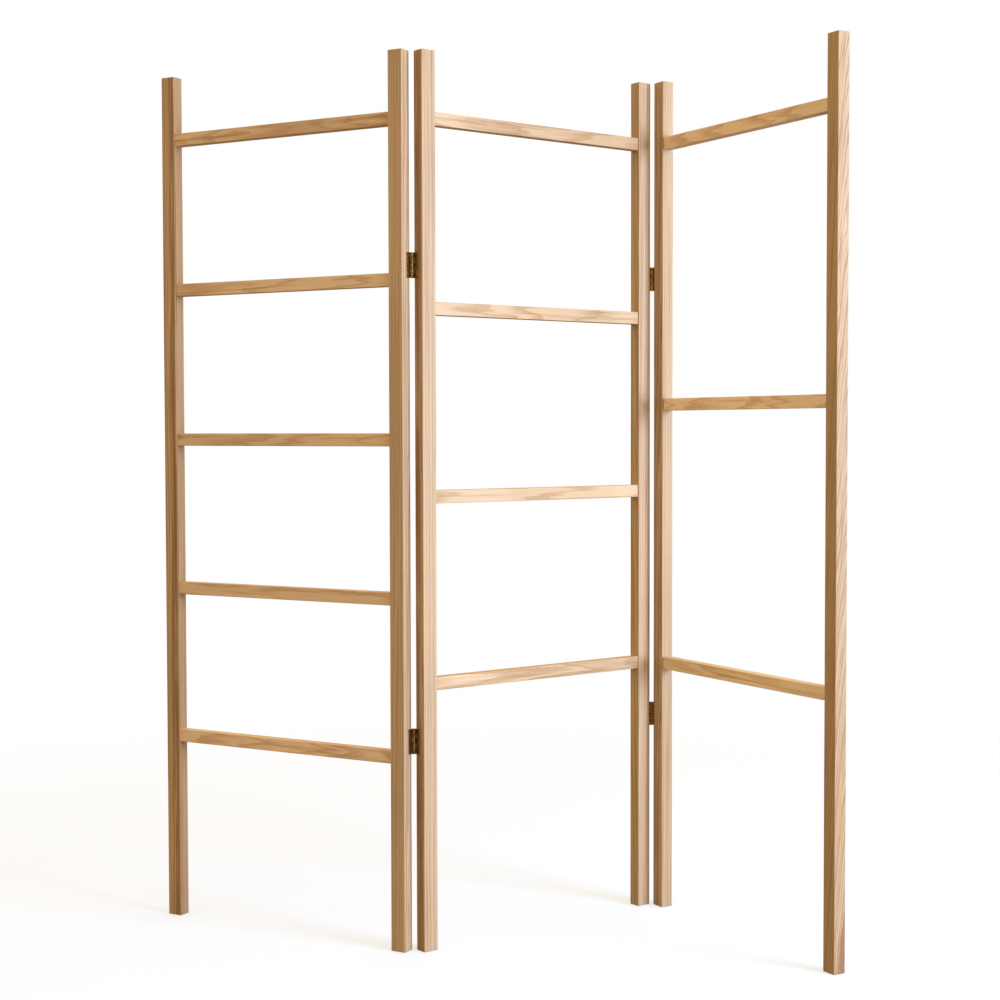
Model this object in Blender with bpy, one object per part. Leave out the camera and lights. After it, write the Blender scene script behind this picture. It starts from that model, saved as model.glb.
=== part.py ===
"""Folding three-panel ladder rack in planed ash, for drying and airing clothes.

Three frames of equal size stand on edge in a zigzag. Each frame is two posts and a row of flat rungs,
tenoned into blind mortises. Two butt hinges join each pair of neighbouring posts. Their leaves are screwed
flat on the posts' end faces. The left panel folds onto the back of the middle one, and the right panel
folds onto its front.

+Z is up, the middle panel lies along X with its front towards -Y, and the origin is on the floor, under the
middle of the rack's bounding box.
"""

import math

import bmesh
import bpy
from mathutils import Matrix, Vector

# Driving dimensions, in metres and degrees.

PANEL_HEIGHT = 1.700
PANEL_WIDTH = 0.575
LEFT_TURN = 67.4
RIGHT_TURN = 97.8

POST_WIDTH = 0.031
POST_DEPTH = 0.026
POST_EDGE = 0.001

RUNG_HEIGHT = 0.025
RUNG_THICKNESS = 0.020
RUNG_EDGE = 0.001
TOP_RUNG_DROP = 0.126
RUNG_COUNT = {"left": 5, "middle": 4, "right": 3}
LOWEST_RUNG = {"left": 0.370, "middle": 0.509, "right": 0.509}

TENON_LENGTH = 0.015
TENON_HEIGHT = 0.017
TENON_THICKNESS = 0.011
TENON_EDGE = 0.0008

HINGE_LENGTH = 0.048
HINGE_INSET = 0.400
LEAF_WIDTH = 0.012
LEAF_THICKNESS = 0.0015
BARREL_RADIUS = 0.0042
KNUCKLES = 5
PIN_RADIUS = 0.0018
PIN_CHAMFER = 0.0003
PIN_STAND_OFF = 0.001

SCREWS_PER_LEAF = 2
SCREW_HEAD_RADIUS = 0.0027
SCREW_SHANK_RADIUS = 0.0014
SCREW_TIP_RADIUS = 0.0004
SCREW_POINT = 0.003
SCREW_END_INSET = 0.0085

# Clearance between neighbouring pieces, and the wood left between a screw's tip and a mortise.

GAP = 0.0003
SCREW_COVER = 0.0022

# How finely round shapes are faceted and from what angle an edge shows as sharp, and how far a cutter runs
# past the surface that it opens.

BARREL_STEP = math.radians(20)
SHARP_ANGLE = math.radians(35)
PIN_SIDES = 18
SCREW_SIDES = 12
OVERSHOOT = 0.002

# Sizes that follow from the ones above.

HALF_PANEL = PANEL_WIDTH / 2
HALF_POST_WIDTH = POST_WIDTH / 2
HALF_POST_DEPTH = POST_DEPTH / 2
RUNG_SPAN = PANEL_WIDTH - 2 * POST_WIDTH
PIN_TO_END = BARREL_RADIUS + GAP
PIN_TO_MIDDLE = HALF_POST_DEPTH + PIN_STAND_OFF
LEAF_INNER = BARREL_RADIUS - LEAF_THICKNESS
NOTCH_REACH = BARREL_RADIUS + GAP
KNUCKLE_PITCH = (HINGE_LENGTH + GAP) / KNUCKLES
SCREW_LENGTH = LEAF_THICKNESS + POST_WIDTH - TENON_LENGTH - GAP - SCREW_COVER
HINGE_HEIGHTS = {"upper": PANEL_HEIGHT - HINGE_INSET, "lower": HINGE_INSET}

# Each panel's hinged ends, as (side: -1 left or 1 right, face with the pin: -1 front or 1 back).

HINGED_ENDS = {"left": [(1, 1)], "middle": [(-1, 1), (1, -1)], "right": [(-1, -1)]}


def material(name, hex_colour, roughness, metallic):
    """A Principled material from an sRGB hex colour."""
    made = bpy.data.materials.new(name)
    made.use_nodes = True
    shader = made.node_tree.nodes["Principled BSDF"]
    channels = [int(hex_colour[start : start + 2], 16) / 255 for start in (0, 2, 4)]
    linear = [c / 12.92 if c <= 0.04045 else ((c + 0.055) / 1.055) ** 2.4 for c in channels]
    shader.inputs["Base Color"].default_value = (*linear, 1)
    shader.inputs["Roughness"].default_value = roughness
    shader.inputs["Metallic"].default_value = metallic
    made.diffuse_color = (*linear, 1)
    return made


def mesh_from(bm, name):
    """Turns a finished bmesh into a mesh whose faces point outwards."""
    bmesh.ops.recalc_face_normals(bm, faces=bm.faces)
    mesh = bpy.data.meshes.new(name)
    bm.to_mesh(mesh)
    bm.free()
    return mesh


def add_block(bm, low, high):
    """Adds a closed box between two corners."""
    low = Vector(low)
    high = Vector(high)
    verts = bmesh.ops.create_cube(bm, size=1.0)["verts"]
    bmesh.ops.scale(bm, vec=high - low, verts=verts)
    bmesh.ops.translate(bm, vec=(high + low) / 2, verts=verts)


def add_turned(bm, profile, sides, matrix):
    """Adds a closed solid turned about Z from (radius, height) points, placed by a matrix."""
    rings = []
    for radius, height in profile:
        ring = []
        for number in range(sides):
            angle = math.tau * number / sides
            point = Vector((radius * math.cos(angle), radius * math.sin(angle), height))
            ring.append(bm.verts.new(matrix @ point))
        rings.append(ring)
    for lower, upper in zip(rings, rings[1:]):
        for number in range(sides):
            after = (number + 1) % sides
            bm.faces.new((lower[number], lower[after], upper[after], upper[number]))
    bm.faces.new(rings[0])
    bm.faces.new(rings[-1])


def eased_block(name, low, high, edge):
    """A box mesh with every edge rounded over."""
    bm = bmesh.new()
    add_block(bm, low, high)
    bmesh.ops.bevel(bm, geom=bm.edges[:], offset=edge, segments=2, profile=0.5, affect="EDGES")
    return mesh_from(bm, name)


def rounded(mesh):
    """Shades a round piece smooth, apart from its sharp corners."""
    mesh.shade_smooth()
    mesh.set_sharp_from_angle(angle=SHARP_ANGLE)
    return mesh


def combined(name, mesh, tools, operation):
    """The mesh after a Boolean with each tool mesh in turn."""
    body = bpy.data.objects.new(name, mesh)
    bpy.context.scene.collection.objects.link(body)
    helpers = []
    for tool in tools:
        helper = bpy.data.objects.new(f"{name}_tool", tool)
        helper.hide_render = True
        helper.display_type = "WIRE"
        bpy.context.scene.collection.objects.link(helper)
        helpers.append(helper)
        modifier = body.modifiers.new(tool.name, "BOOLEAN")
        modifier.operation = operation
        modifier.solver = "EXACT"
        modifier.object = helper
    bpy.context.view_layer.update()
    graph = bpy.context.evaluated_depsgraph_get()
    result = bpy.data.meshes.new_from_object(body.evaluated_get(graph))
    result.name = name
    for done in [body, *helpers]:
        bpy.data.objects.remove(done)
    return result


def place(name, mesh, surface, parent, matrix):
    """Adds a named object with its material, at a place in its panel's frame."""
    obj = bpy.data.objects.new(name, mesh)
    bpy.context.scene.collection.objects.link(obj)
    if not mesh.materials:
        mesh.materials.append(surface)
    obj.parent = parent
    obj.matrix_local = matrix
    return obj


def rung_heights(panel):
    """The rungs' middles above the floor, from the top one down, evenly spaced."""
    top = PANEL_HEIGHT - TOP_RUNG_DROP
    spacing = (top - LOWEST_RUNG[panel]) / (RUNG_COUNT[panel] - 1)
    return [top - number * spacing for number in range(RUNG_COUNT[panel])]


def hinge_frame(end, face, half_width, height):
    """A leaf's frame: on the pin's axis, X into the wood of the end face, Y away from the pin's face."""
    turn = Matrix.Diagonal((-end, -face, end * face, 1))
    seat = Vector((end * (half_width + PIN_TO_END), face * PIN_TO_MIDDLE, height))
    return Matrix.Translation(seat) @ turn


def screw_seats():
    """Matrices in the leaf's frame, one for each screw, from the leaf's visible face into the wood."""
    reach = HINGE_LENGTH / 2 - SCREW_END_INSET
    row = (NOTCH_REACH + LEAF_WIDTH) / 2
    along_x = Matrix.Rotation(math.radians(90), 4, "Y")
    seats = []
    for number in range(SCREWS_PER_LEAF):
        height = reach * (2 * number / (SCREWS_PER_LEAF - 1) - 1)
        seats.append(Matrix.Translation((LEAF_INNER, row, height)) @ along_x)
    return seats


def screw_profile(gap=0.0):
    """The countersunk screw's (radius, depth) outline from its head to its tip, widened by a gap."""
    neck = SCREW_HEAD_RADIUS - SCREW_SHANK_RADIUS
    return [
        (SCREW_HEAD_RADIUS + gap, 0),
        (SCREW_SHANK_RADIUS + gap, neck),
        (SCREW_SHANK_RADIUS + gap, SCREW_LENGTH - SCREW_POINT),
        (SCREW_TIP_RADIUS + gap, SCREW_LENGTH + gap),
    ]


def screw_holes(frames):
    """A cutter for the screws of the leaves at these frames, open past the leaf's visible face."""
    bm = bmesh.new()
    mouth = (SCREW_HEAD_RADIUS + GAP, -OVERSHOOT)
    for frame in frames:
        for seat in screw_seats():
            add_turned(bm, [mouth, *screw_profile(GAP)], SCREW_SIDES, frame @ seat)
    return mesh_from(bm, "screw_holes")


def mortises(panel, side):
    """A cutter for one post's mortises, in the face that looks towards the panel's middle."""
    bm = bmesh.new()
    floor = -side * (HALF_POST_WIDTH - TENON_LENGTH - GAP)
    mouth = -side * (HALF_POST_WIDTH + OVERSHOOT)
    half_thickness = TENON_THICKNESS / 2 + GAP
    half_height = TENON_HEIGHT / 2 + GAP
    for height in rung_heights(panel):
        low = (min(floor, mouth), -half_thickness, height - half_height)
        high = (max(floor, mouth), half_thickness, height + half_height)
        add_block(bm, low, high)
    return mesh_from(bm, "mortises")


def post_mesh(panel, side):
    """A post with a mortise for each rung and, where it carries hinges, the holes for their screws."""
    low = (-HALF_POST_WIDTH, -HALF_POST_DEPTH, 0)
    high = (HALF_POST_WIDTH, HALF_POST_DEPTH, PANEL_HEIGHT)
    tools = [mortises(panel, side)]
    for end, face in HINGED_ENDS[panel]:
        if end == side:
            heights = HINGE_HEIGHTS.values()
            tools.append(screw_holes([hinge_frame(end, face, HALF_POST_WIDTH, z) for z in heights]))
    name = f"{panel}_post"
    return combined(name, eased_block(name, low, high, POST_EDGE), tools, "DIFFERENCE")


def rung_mesh():
    """A flat rung with a tenon at each end, centred on its own middle, along X."""
    half = Vector((RUNG_SPAN / 2 - GAP, RUNG_THICKNESS / 2, RUNG_HEIGHT / 2))
    bar = Vector((RUNG_SPAN / 2 + TENON_LENGTH, TENON_THICKNESS / 2, TENON_HEIGHT / 2))
    body = eased_block("rung", -half, half, RUNG_EDGE)
    tenons = eased_block("tenons", -bar, bar, TENON_EDGE)
    return combined("rung", body, [tenons], "UNION")


def leaf_outline():
    """The leaf's section across the pin: round the barrel, then along the plate that is tangent to it."""
    opening = math.acos(LEAF_INNER / BARREL_RADIUS)
    sweep = math.tau - opening
    steps = math.ceil(sweep / BARREL_STEP)
    outline = [(BARREL_RADIUS, LEAF_WIDTH)]
    for number in range(steps + 1):
        angle = -sweep * number / steps
        outline.append((BARREL_RADIUS * math.cos(angle), BARREL_RADIUS * math.sin(angle)))
    outline.append((LEAF_INNER, LEAF_WIDTH))
    return outline


def leaf_mesh(name, first_knuckle):
    """One hinge leaf. It keeps every second knuckle, and is notched round its partner's."""
    half = HINGE_LENGTH / 2
    bm = bmesh.new()
    bottom = [bm.verts.new((x, y, -half)) for x, y in leaf_outline()]
    section = bm.faces.new(bottom)
    grown = bmesh.ops.extrude_face_region(bm, geom=[section])["geom"]
    top = [item for item in grown if isinstance(item, bmesh.types.BMVert)]
    bmesh.ops.translate(bm, vec=(0, 0, HINGE_LENGTH), verts=top)
    body = mesh_from(bm, name)

    notches = bmesh.new()
    for number in range(1 - first_knuckle, KNUCKLES, 2):
        base = -half + number * KNUCKLE_PITCH - GAP
        top = base + KNUCKLE_PITCH + GAP
        if number == 0:
            base -= OVERSHOOT
        if number == KNUCKLES - 1:
            top += OVERSHOOT
        add_block(notches, (-NOTCH_REACH, -NOTCH_REACH, base), (NOTCH_REACH, NOTCH_REACH, top))

    bore = bmesh.new()
    radius = PIN_RADIUS + GAP
    length = half + OVERSHOOT
    add_turned(bore, [(radius, -length), (radius, length)], PIN_SIDES, Matrix.Identity(4))
    tools = [mesh_from(notches, "notches"), mesh_from(bore, "bore"), screw_holes([Matrix.Identity(4)])]
    return rounded(combined(name, body, tools, "DIFFERENCE"))


def pin_mesh():
    """The hinge pin, chamfered at both ends and flush with the knuckles."""
    half = HINGE_LENGTH / 2
    small = PIN_RADIUS - PIN_CHAMFER
    shoulder = half - PIN_CHAMFER
    bm = bmesh.new()
    profile = [(small, -half), (PIN_RADIUS, -shoulder), (PIN_RADIUS, shoulder), (small, half)]
    add_turned(bm, profile, PIN_SIDES, Matrix.Identity(4))
    return rounded(mesh_from(bm, "hinge_pin"))


def screw_mesh():
    """A countersunk wood screw along Z, with its head's face at the origin."""
    bm = bmesh.new()
    add_turned(bm, screw_profile(), SCREW_SIDES, Matrix.Identity(4))
    return rounded(mesh_from(bm, "hinge_screw"))


def panel_places():
    """Each panel's turn, its joint's place and its centre seen from there, in plan."""
    pin_x = HALF_PANEL + PIN_TO_END
    left_pin = Vector((-pin_x, PIN_TO_MIDDLE, 0))
    right_pin = Vector((pin_x, -PIN_TO_MIDDLE, 0))
    return {
        "middle": (0, Vector(), Vector()),
        "left": (LEFT_TURN, left_pin, Vector((-pin_x, -PIN_TO_MIDDLE, 0))),
        "right": (RIGHT_TURN, right_pin, Vector((pin_x, PIN_TO_MIDDLE, 0))),
    }


def add_empty(name, parent, location, turn):
    """An empty that carries other objects, turned clockwise about Z by some degrees."""
    empty = bpy.data.objects.new(name, None)
    bpy.context.scene.collection.objects.link(empty)
    empty.parent = parent
    empty.location = location
    empty.rotation_euler.z = -math.radians(turn)
    return empty


def build_panel(panel, frame, centre, rung, surfaces):
    """The two posts and the rungs of one panel."""
    middle = Matrix.Translation(centre)
    for side, word in ((-1, "left"), (1, "right")):
        seat = Matrix.Translation((side * (HALF_PANEL - HALF_POST_WIDTH), 0, 0))
        mesh = post_mesh(panel, side)
        place(f"{panel}_panel_{word}_post", mesh, surfaces["post"], frame, middle @ seat)
    for number, height in enumerate(rung_heights(panel), 1):
        seat = Matrix.Translation((0, 0, height))
        place(f"{panel}_panel_rung_{number}", rung, surfaces["rung"], frame, middle @ seat)


def build_hinges(panel, frame, centre, meshes, surfaces):
    """This panel's hinge leaves and their screws; the middle panel also holds the pins."""
    middle = Matrix.Translation(centre)
    kind = "fixed" if panel == "middle" else "swing"
    for end, face in HINGED_ENDS[panel]:
        joint = panel if panel != "middle" else {-1: "left", 1: "right"}[end]
        for level, height in HINGE_HEIGHTS.items():
            name = f"{joint}_hinge_{level}"
            seat = middle @ hinge_frame(end, face, HALF_PANEL, height)
            place(f"{name}_{kind}_leaf", meshes[kind], surfaces["leaf"], frame, seat)
            if kind == "fixed":
                place(f"{name}_pin", meshes["pin"], surfaces["pin"], frame, seat)
            for number, screw in enumerate(screw_seats(), 1):
                full_name = f"{name}_{kind}_screw_{number}"
                place(full_name, meshes["screw"], surfaces["screw"], frame, seat @ screw)


def centre_over_origin(root):
    """Moves the rack so that the middle of its bounding box, seen from above, is at the origin."""
    bpy.context.view_layer.update()
    points = []
    for obj in root.children_recursive:
        if obj.type == "MESH":
            points += [obj.matrix_world @ vertex.co for vertex in obj.data.vertices]
    for axis in (0, 1):
        places = [point[axis] for point in points]
        root.location[axis] = -(min(places) + max(places)) / 2


def main():
    for obj in list(bpy.data.objects):
        bpy.data.objects.remove(obj)
    surfaces = {
        "post": material("planed_ash", "C9A06C", 0.5, 0.0),
        "rung": material("planed_ash_rung", "CFA872", 0.5, 0.0),
        "leaf": material("aged_brass", "6A5128", 0.4, 1.0),
        "pin": material("worn_brass_pin", "7D6A45", 0.35, 1.0),
        "screw": material("brass_screw", "8A7038", 0.35, 1.0),
    }
    meshes = {
        "fixed": leaf_mesh("fixed_leaf", 0),
        "swing": leaf_mesh("swing_leaf", 1),
        "pin": pin_mesh(),
        "screw": screw_mesh(),
    }
    rung = rung_mesh()
    root = add_empty("rack_frame", None, Vector(), 0)
    for panel, (turn, joint, centre) in panel_places().items():
        frame = add_empty(f"{panel}_panel_frame", root, joint, turn)
        build_panel(panel, frame, centre, rung, surfaces)
        build_hinges(panel, frame, centre, meshes, surfaces)
    centre_over_origin(root)


main()
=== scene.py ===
"""Looks of a folding three-panel ladder rack: oiled ash boards, aged brass butt hinges and a plain studio.

The sizes and places of the pieces are read from the fixed frame. The settings are the ones that a maker would
change: how the ash was sawn and finished, how far the brass has aged, and how the studio is lit.
"""

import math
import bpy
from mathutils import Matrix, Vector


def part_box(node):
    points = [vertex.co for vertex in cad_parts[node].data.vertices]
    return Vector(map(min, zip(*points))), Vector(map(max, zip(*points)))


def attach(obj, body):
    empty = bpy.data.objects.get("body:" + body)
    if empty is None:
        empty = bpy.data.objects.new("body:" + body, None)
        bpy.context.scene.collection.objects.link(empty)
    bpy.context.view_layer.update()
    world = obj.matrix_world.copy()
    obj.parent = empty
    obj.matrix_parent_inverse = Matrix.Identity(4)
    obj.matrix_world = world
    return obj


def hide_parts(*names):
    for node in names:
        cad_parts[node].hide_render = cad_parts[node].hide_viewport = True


bl_info = {
    "name": "Folding Ladder Rack",
    "version": (1, 0, 0),
    "blender": (4, 5, 0),
    "location": "3D View > Sidebar > Ladder Rack",
    "description": "Makes the ash boards, the brass hinges and the studio of a folding ladder rack",
    "category": "Add Mesh",
}

import bmesh
import bpy
from mathutils import Matrix, Vector, noise

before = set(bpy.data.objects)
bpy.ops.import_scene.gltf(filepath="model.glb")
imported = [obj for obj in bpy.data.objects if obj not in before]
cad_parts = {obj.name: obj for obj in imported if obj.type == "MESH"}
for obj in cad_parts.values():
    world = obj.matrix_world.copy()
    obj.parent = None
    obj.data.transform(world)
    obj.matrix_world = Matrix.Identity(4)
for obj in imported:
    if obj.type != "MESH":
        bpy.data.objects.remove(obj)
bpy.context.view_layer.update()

NODES = sorted(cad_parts)
PANELS = ("left", "middle", "right")
LEVELS = ("upper", "lower")

# Each leaf's seat, as (panel, its end: -1 left or 1 right, the face with the pin: -1 front or 1 back).

LEAF_SEATS = {
    ("left", "fixed"): ("middle", -1, 1),
    ("left", "swing"): ("left", 1, 1),
    ("right", "fixed"): ("middle", 1, -1),
    ("right", "swing"): ("right", -1, -1),
}

# How each post was cut from its log: (direction of the log's heart seen from the post, in degrees from the
# panel's right-hand end, its distance in metres, the grain's lean along the post in degrees, and the tone).

POST_CUTS = {
    "left_panel_left_post": (-70, 0.061, 0.1, -0.35),
    "left_panel_right_post": (20, 0.090, 0.6, 0.05),
    # This post's heart lies towards its left face, so heartwood darkens that face: partly heartwood, partly
    # painted shade on a face that lies in shade.
    "middle_panel_left_post": (175, 0.061, 0.0, 0.1),
    "middle_panel_right_post": (35, 0.075, 0.5, 0.1),
    "right_panel_left_post": (75, 0.090, 0.4, -0.2),
    "right_panel_right_post": (25, 0.120, 4.3, -0.5),
}


# Colours, as sRGB hex values.


def channels(colour):
    """The sRGB channels of a hex colour, from 0 to 1."""
    return [int(colour[start : start + 2], 16) / 255 for start in (0, 2, 4)]


def linear(colour):
    """A linear RGBA colour from sRGB, given as a hex string or as three channels."""
    colour = channels(colour) if isinstance(colour, str) else colour
    return (*[c / 12.92 if c <= 0.04045 else ((c + 0.055) / 1.055) ** 2.4 for c in colour], 1)


# The settings.


class AshSettings(bpy.types.PropertyGroup):
    """How the boards are sawn, planed and oiled."""

    edge: bpy.props.FloatProperty(
        name="Eased edge", description="Radius that sandpaper leaves on a board's edges",
        default=0.00115, min=0.0002, max=0.003, unit="LENGTH",
    )
    ring: bpy.props.FloatProperty(
        name="Growth ring", description="Width of one year's growth",
        default=0.0032, min=0.001, max=0.01, unit="LENGTH",
    )
    pale: bpy.props.FloatVectorProperty(
        name="Late wood", description="Colour of the dense summer growth (sRGB)",
        default=channels("C4AF94"), min=0, max=1, subtype="COLOR_GAMMA",
    )
    deep: bpy.props.FloatVectorProperty(
        name="Early wood", description="Colour of the open spring growth, where the oil soaks in (sRGB)",
        default=channels("A88867"), min=0, max=1, subtype="COLOR_GAMMA",
    )
    heart: bpy.props.FloatVectorProperty(
        name="Heart streak", description="Colour of the darker streaks near the heartwood (sRGB)",
        default=channels("8B6A47"), min=0, max=1, subtype="COLOR_GAMMA",
    )
    sheen: bpy.props.FloatProperty(
        name="Roughness", description="Roughness of the oiled surface",
        default=0.48, min=0.1, max=1.0, subtype="FACTOR",
    )
    rung_lift: bpy.props.FloatProperty(
        name="Rung paleness", description="How much paler the rungs' boards are than the posts'",
        default=1.18, min=0.5, max=2.0,
    )


class HingeSettings(bpy.types.PropertyGroup):
    """The butt hinges' build and age."""

    knuckles: bpy.props.IntProperty(
        name="Knuckles", description="Knuckles of the two leaves together", default=5, min=3, max=7,
    )
    brass: bpy.props.FloatVectorProperty(
        name="Brass", description="Colour where handling keeps the metal clean (sRGB)",
        default=channels("D1B875"), min=0, max=1, subtype="COLOR_GAMMA",
    )
    patina: bpy.props.FloatVectorProperty(
        name="Patina", description="Colour of the brown skin that old brass grows (sRGB)",
        default=channels("82663B"), min=0, max=1, subtype="COLOR_GAMMA",
    )


class StudioSettings(bpy.types.PropertyGroup):
    """Where the camera stands and how the studio is lit."""

    lens: bpy.props.FloatProperty(
        name="Lens", description="Focal length on a 36 mm wide sensor",
        default=65.45, min=20, max=200, unit="CAMERA",
    )
    place: bpy.props.FloatVectorProperty(
        name="Camera place", description="From the middle panel's left front edge, at the floor",
        default=(-1.97, -2.79, 0.992), subtype="TRANSLATION", unit="LENGTH",
    )
    turn: bpy.props.FloatProperty(
        name="Camera turn", description="From facing the middle panel squarely, to the right",
        default=math.radians(37.65), subtype="ANGLE",
    )
    tilt: bpy.props.FloatProperty(
        name="Camera tilt", description="How far the camera looks down",
        default=math.radians(2.235), subtype="ANGLE",
    )
    roll: bpy.props.FloatProperty(
        name="Camera roll", description="How far the camera leans to its right",
        default=math.radians(0.12), subtype="ANGLE",
    )
    key: bpy.props.FloatProperty(
        name="Key light", description="Power of the large soft light at the front right",
        default=310.0, min=0, unit="POWER",
    )
    fill: bpy.props.FloatProperty(
        name="Fill", description="Strength of the warm light that the room gives back",
        default=0.98, min=0, max=3,
    )


# Sizes and places, read from the frame.


def panel_frame(panel):
    """The panel's frame: X runs from its left post to its right one, and the origin is on the floor."""
    ends = [sum(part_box(f"{panel}_panel_{side}_post"), Vector()) / 2 for side in ("left", "right")]
    middle = (ends[0] + ends[1]) / 2
    along = (ends[1] - ends[0]).normalized()
    turn = Matrix((along, Vector((-along.y, along.x, 0)), Vector((0, 0, 1)))).transposed()
    return Matrix.Translation((middle.x, middle.y, 0)) @ turn.to_4x4()


def nodes_named(*words):
    """The names of the nodes that hold all these words."""
    return [name for name in NODES if all(word in name for word in words)]


def size_of(node):
    """A node's size along X, Y and Z."""
    low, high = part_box(node)
    return high - low


def middle_of(node):
    """The middle of a node's box."""
    return sum(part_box(node), Vector()) / 2


def leaf_frame(hinge, level, kind):
    """A leaf's frame, on its pin's axis: X points into the wood, and Y away from the pin's face."""
    panel, end, face = LEAF_SEATS[hinge, kind]
    turn = panel_frame(panel).to_3x3() @ Matrix.Diagonal((-end, -face, end * face))
    return Matrix.Translation(middle_of(f"{hinge}_hinge_{level}_pin")) @ turn.to_4x4()


def hinge_sizes():
    """The butt hinge's own sizes, measured on one hinge of the frame."""
    pin = middle_of("left_hinge_upper_pin")
    leaf_low, leaf_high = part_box("left_hinge_upper_fixed_leaf")
    screws = [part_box(name) for name in nodes_named("left_hinge_upper_fixed_screw")]
    return {
        "length": leaf_high.z - leaf_low.z,
        "barrel": (leaf_high.x - leaf_low.x) / 2,
        "width": pin.y - leaf_low.y,
        "inner": screws[0][0].x - pin.x,
        "pin": size_of("left_hinge_upper_pin").x / 2,
        "row": pin.y - (screws[0][0].y + screws[0][1].y) / 2,
        "heights": [(low.z + high.z) / 2 - pin.z for low, high in screws],
        "head": (screws[0][1].z - screws[0][0].z) / 2,
        "screw": screws[0][1].x - screws[0][0].x,
    }


# Helpers for trees, meshes and materials.


def add(tree, kind, inputs=(), **settings):
    """Adds a node, sets its properties, and links each input to a socket or gives it a value."""
    node = tree.nodes.new(kind)
    for name, value in settings.items():
        setattr(node, name, value)
    for key, value in dict(inputs).items():
        if isinstance(value, bpy.types.NodeSocket):
            tree.links.new(value, node.inputs[key])
        else:
            node.inputs[key].default_value = value
    return node


def link_object(name, mesh):
    """A new object for a mesh, in the scene."""
    obj = bpy.data.objects.new(name, mesh)
    bpy.context.scene.collection.objects.link(obj)
    return obj


def baked(obj):
    """The object's evaluated shape as a plain mesh, with its modifiers taken off."""
    bpy.context.view_layer.update()
    graph = bpy.context.evaluated_depsgraph_get()
    mesh = bpy.data.meshes.new_from_object(obj.evaluated_get(graph))
    bpy.data.objects.remove(obj)
    return mesh


def stand_for(name, mesh, body, nodes):
    """Shows a finished mesh in place of some nodes, moving with their body."""
    piece = link_object(name, mesh)
    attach(piece, body)
    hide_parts(*nodes)
    return piece


# Materials.


def new_material(name):
    """A material with an empty tree but for its output and its Principled shader."""
    material = bpy.data.materials.new(name)
    material.use_nodes = True
    tree = material.node_tree
    tree.nodes.clear()
    shader = add(tree, "ShaderNodeBsdfPrincipled")
    add(tree, "ShaderNodeOutputMaterial", {"Surface": shader.outputs["BSDF"]})
    return material, tree, shader


def mixed(tree, factor, first, second, blend="MIX"):
    """The colour that a Mix node gives from two colours or sockets."""
    inputs = {0: factor, 6: first, 7: second}
    return add(tree, "ShaderNodeMix", inputs, data_type="RGBA", blend_type=blend).outputs[2]


def ramped(tree, value, low, high, start=0.0, end=1.0):
    """A value brought smoothly from the range low to high into start to end."""
    inputs = {"Value": value, "From Min": low, "From Max": high, "To Min": start, "To Max": end}
    return add(tree, "ShaderNodeMapRange", inputs, interpolation_type="SMOOTHSTEP").outputs["Result"]


def maths(tree, operation, first, second=0.0, third=0.0):
    """The result of a Math node."""
    return add(tree, "ShaderNodeMath", {0: first, 1: second, 2: third}, operation=operation).outputs[0]


def grain_noise(tree, log, figure, detail=2.0):
    """Noise drawn out along the grain, from a figure's size across and along it."""
    across, along = figure
    scale = (1 / across, 1 / across, 1 / along)
    drawn = add(tree, "ShaderNodeVectorMath", {0: log, 1: scale}, operation="MULTIPLY").outputs[0]
    inputs = {"Vector": drawn, "Scale": 1.0, "Detail": detail, "Roughness": 0.55}
    return add(tree, "ShaderNodeTexNoise", inputs).outputs["Fac"]


# The ash's figures, in metres: how wide each is across the grain, and how long along it. Growth rings
# wander, darker streaks run along the board, its shade drifts, and the pores are near their real size. Real
# fibres are hundredths of a millimetre wide, too fine to show, so they are drawn as bundles of 0.9 mm.

WANDER = (0.022, 0.30)
STREAK = (0.0075, 0.45)
DRIFT = (0.06, 0.35)
PORE = (0.00032, 0.007)
FIBRE = (0.0009, 0.12)

# How far the rings wander and how much their widths vary, in rings, and how fast the weather changes from
# ring to ring. Open spring growth starts within the first share of a ring and ends between the other two.

RING_WANDER = 2.6
RING_VARIETY = 1.4
WEATHER_PACE = 0.6
EARLY_START = (0.0, 0.07)
EARLY_END = (0.6, 0.12)

# The log's brown heartwood reaches this far from its heart, with a ragged edge. Most boards are pale sapwood.
# On the middle panel's left post the heartwood is partly painted shade on its left face, which lies in shade.

HEARTWOOD = 0.044
HEARTWOOD_RAG = 0.022
HEARTWOOD_FADE = (0.015, 0.012)

# The stretch of its noise over which each figure comes up.

STREAK_RANGE = (0.50, 0.74)
PORE_RANGE = (0.52, 0.70)
FIBRE_RANGE = (0.25, 0.75)
DRIFT_RANGE = (0.3, 0.7)

# How strongly the streaks and the heartwood show, and how far fibres and drift darken and lighten the wood.

STREAK_DEPTH = 0.55
HEARTWOOD_DEPTH = 0.8
FIBRE_SHADE = (0.91, 1.07)
DRIFT_SHADE = (0.94, 1.06)

# What a tone of 1 adds to a board's red, green and blue: a paler board is also a less yellow one.

PALER_BOARD = (0.22, 0.30, 0.42)

# Pores hold dark oil, mostly in the spring growth. Rubbed edges are paler, and a sawn end is darker.

PORE_DEPTH = (0.42, 0.10)
PORE_COLOUR = "73502D"
RUBBED_DEPTH = 0.25
RUBBED_COLOUR = "D8C09A"
END_DEPTH = 0.45
END_COLOUR = "815C34"

# The relief of the oiled surface: its depth in metres, and the shares of fibres, early wood and pores in it.

RELIEF_DEPTH = 0.00015
RELIEF_SHARES = (0.3, 0.1, 0.8)

# Fibres make the oiled surface smoother or duller by this much, and early wood makes it duller still.

FIBRE_GLOSS = (-0.06, 0.10)
EARLY_DULLS = 0.10
OILED_IOR = 1.47


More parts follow.
